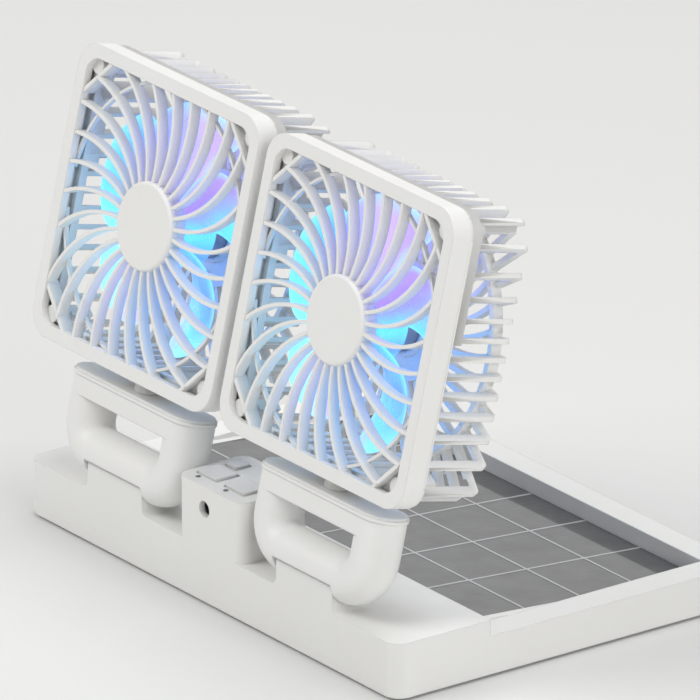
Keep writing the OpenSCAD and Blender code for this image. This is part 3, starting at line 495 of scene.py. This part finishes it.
def make_cage(side):
    """The cage with its lower corner ribs slimmed, so that the air gaps between them show."""
    source = NODES[side + "_rear_cage"]
    bm = bmesh.new()
    bm.from_mesh(source.data)
    bmesh.ops.remove_doubles(bm, verts=bm.verts, dist=SAME_POINT)
    cage = linked(side + "_cage_slim", as_mesh(bm, side + "_cage_slim"))
    cage.matrix_world = source.matrix_world
    cuts = rib_cuts(side)
    cut = cage.modifiers.new("slim", "BOOLEAN")
    cut.operation, cut.solver, cut.object = "DIFFERENCE", "EXACT", cuts
    bpy.context.view_layer.update()
    slim = bpy.data.meshes.new_from_object(cage.evaluated_get(bpy.context.evaluated_depsgraph_get()))
    cage.modifiers.clear()
    cage.data = slim
    bpy.data.objects.remove(cuts)
    slim.materials.clear()
    slim.materials.append(FINISH["head_plastic"])
    bm = bmesh.new()
    bm.from_mesh(slim)
    bmesh.ops.dissolve_degenerate(bm, edges=bm.edges, dist=SAME_POINT)
    bm.to_mesh(slim)
    bm.free()
    smooth(slim, CAGE_SHARP_DEG)
    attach(cage, side + "_head")
    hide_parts(side + "_rear_cage")


for side in SIDES:
    make_cage(side)

# ---------------------------------------------------------------- stage

FLOOR_HALF = 30.0
FLOOR_SHADE = (0.70, 0.70, 0.69)
WORLD_TINT = (1.0, 0.99, 0.97)
WORLD_STRENGTH = 0.30
# place, target, size, power, and whether glossy faces mirror the light: from the left, the solar
# panel would show the fill as a white sheet
LIGHTS = {
    "key": ((-0.9, -1.5, 1.7), (0, 0, 0.09), (1.2, 1.2), 28, True),
    "fill": ((2.0, -0.3, 0.9), (0, 0, 0.08), (1.4, 1.2), 19, False),
    "overhead": ((0.2, 0.5, 2.1), (0, 0, 0.05), (1.3, 1.0), 21, True),
    "back_window": ((-1.65, 1.25, 1.05), (0, 0, 0.02), (2.4, 1.3), 7, True),
}
# the camera solved from the photograph: almost parallel, from the front right and above
CAMERA_PLACE = (3.7106, -2.7394, 1.8691)
CAMERA_LOOK = (-0.7514, 0.5519, -0.3618)
LENS = 724.2
SENSOR_WIDTH = 36
CLIP_END = 60


def aim(obj, place, direction):
    obj.location = place
    obj.rotation_euler = Vector(direction).to_track_quat("-Z", "Y").to_euler()
    bpy.context.scene.collection.objects.link(obj)


def make_floor():
    """Wide plain floor, which fills the background of every view."""
    corners = [(-1, -1), (1, -1), (1, 1), (-1, 1)]
    mesh = bpy.data.meshes.new("floor")
    mesh.from_pydata([(x * FLOOR_HALF, y * FLOOR_HALF, 0) for x, y in corners], [], [(0, 1, 2, 3)])
    s = Shader("floor", FLOOR_SHADE, 0.85, Specular_IOR_Level=0.2)
    patches = s.spread(s.noise(scale=3.0), 0.0, 0.2)
    s.set("Base Color", s.mix(patches, FLOOR_SHADE, scaled(FLOOR_SHADE, 0.97)))
    mesh.materials.append(s.mat)
    linked("floor", mesh)


def make_light(name, place, target, size, power, mirrored):
    data = bpy.data.lights.new(name, "AREA")
    data.shape = "RECTANGLE"
    data.size, data.size_y = size
    data.energy = power
    obj = bpy.data.objects.new(name, data)
    obj.visible_glossy = mirrored
    aim(obj, place, Vector(target) - Vector(place))


def make_world():
    world = bpy.data.worlds.new("studio")
    bpy.context.scene.world = world
    world.use_nodes = True
    back = world.node_tree.nodes["Background"]
    back.inputs["Color"].default_value = (*WORLD_TINT, 1)
    back.inputs["Strength"].default_value = WORLD_STRENGTH


def make_camera():
    data = bpy.data.cameras.new("camera")
    data.lens = LENS
    data.sensor_width = SENSOR_WIDTH
    data.clip_end = CLIP_END
    obj = bpy.data.objects.new("camera", data)
    aim(obj, CAMERA_PLACE, CAMERA_LOOK)
    bpy.context.scene.camera = obj


make_floor()
make_world()
for light_name, settings in LIGHTS.items():
    make_light(light_name, *settings)
make_camera()
bpy.context.scene.view_settings.view_transform = "Standard"
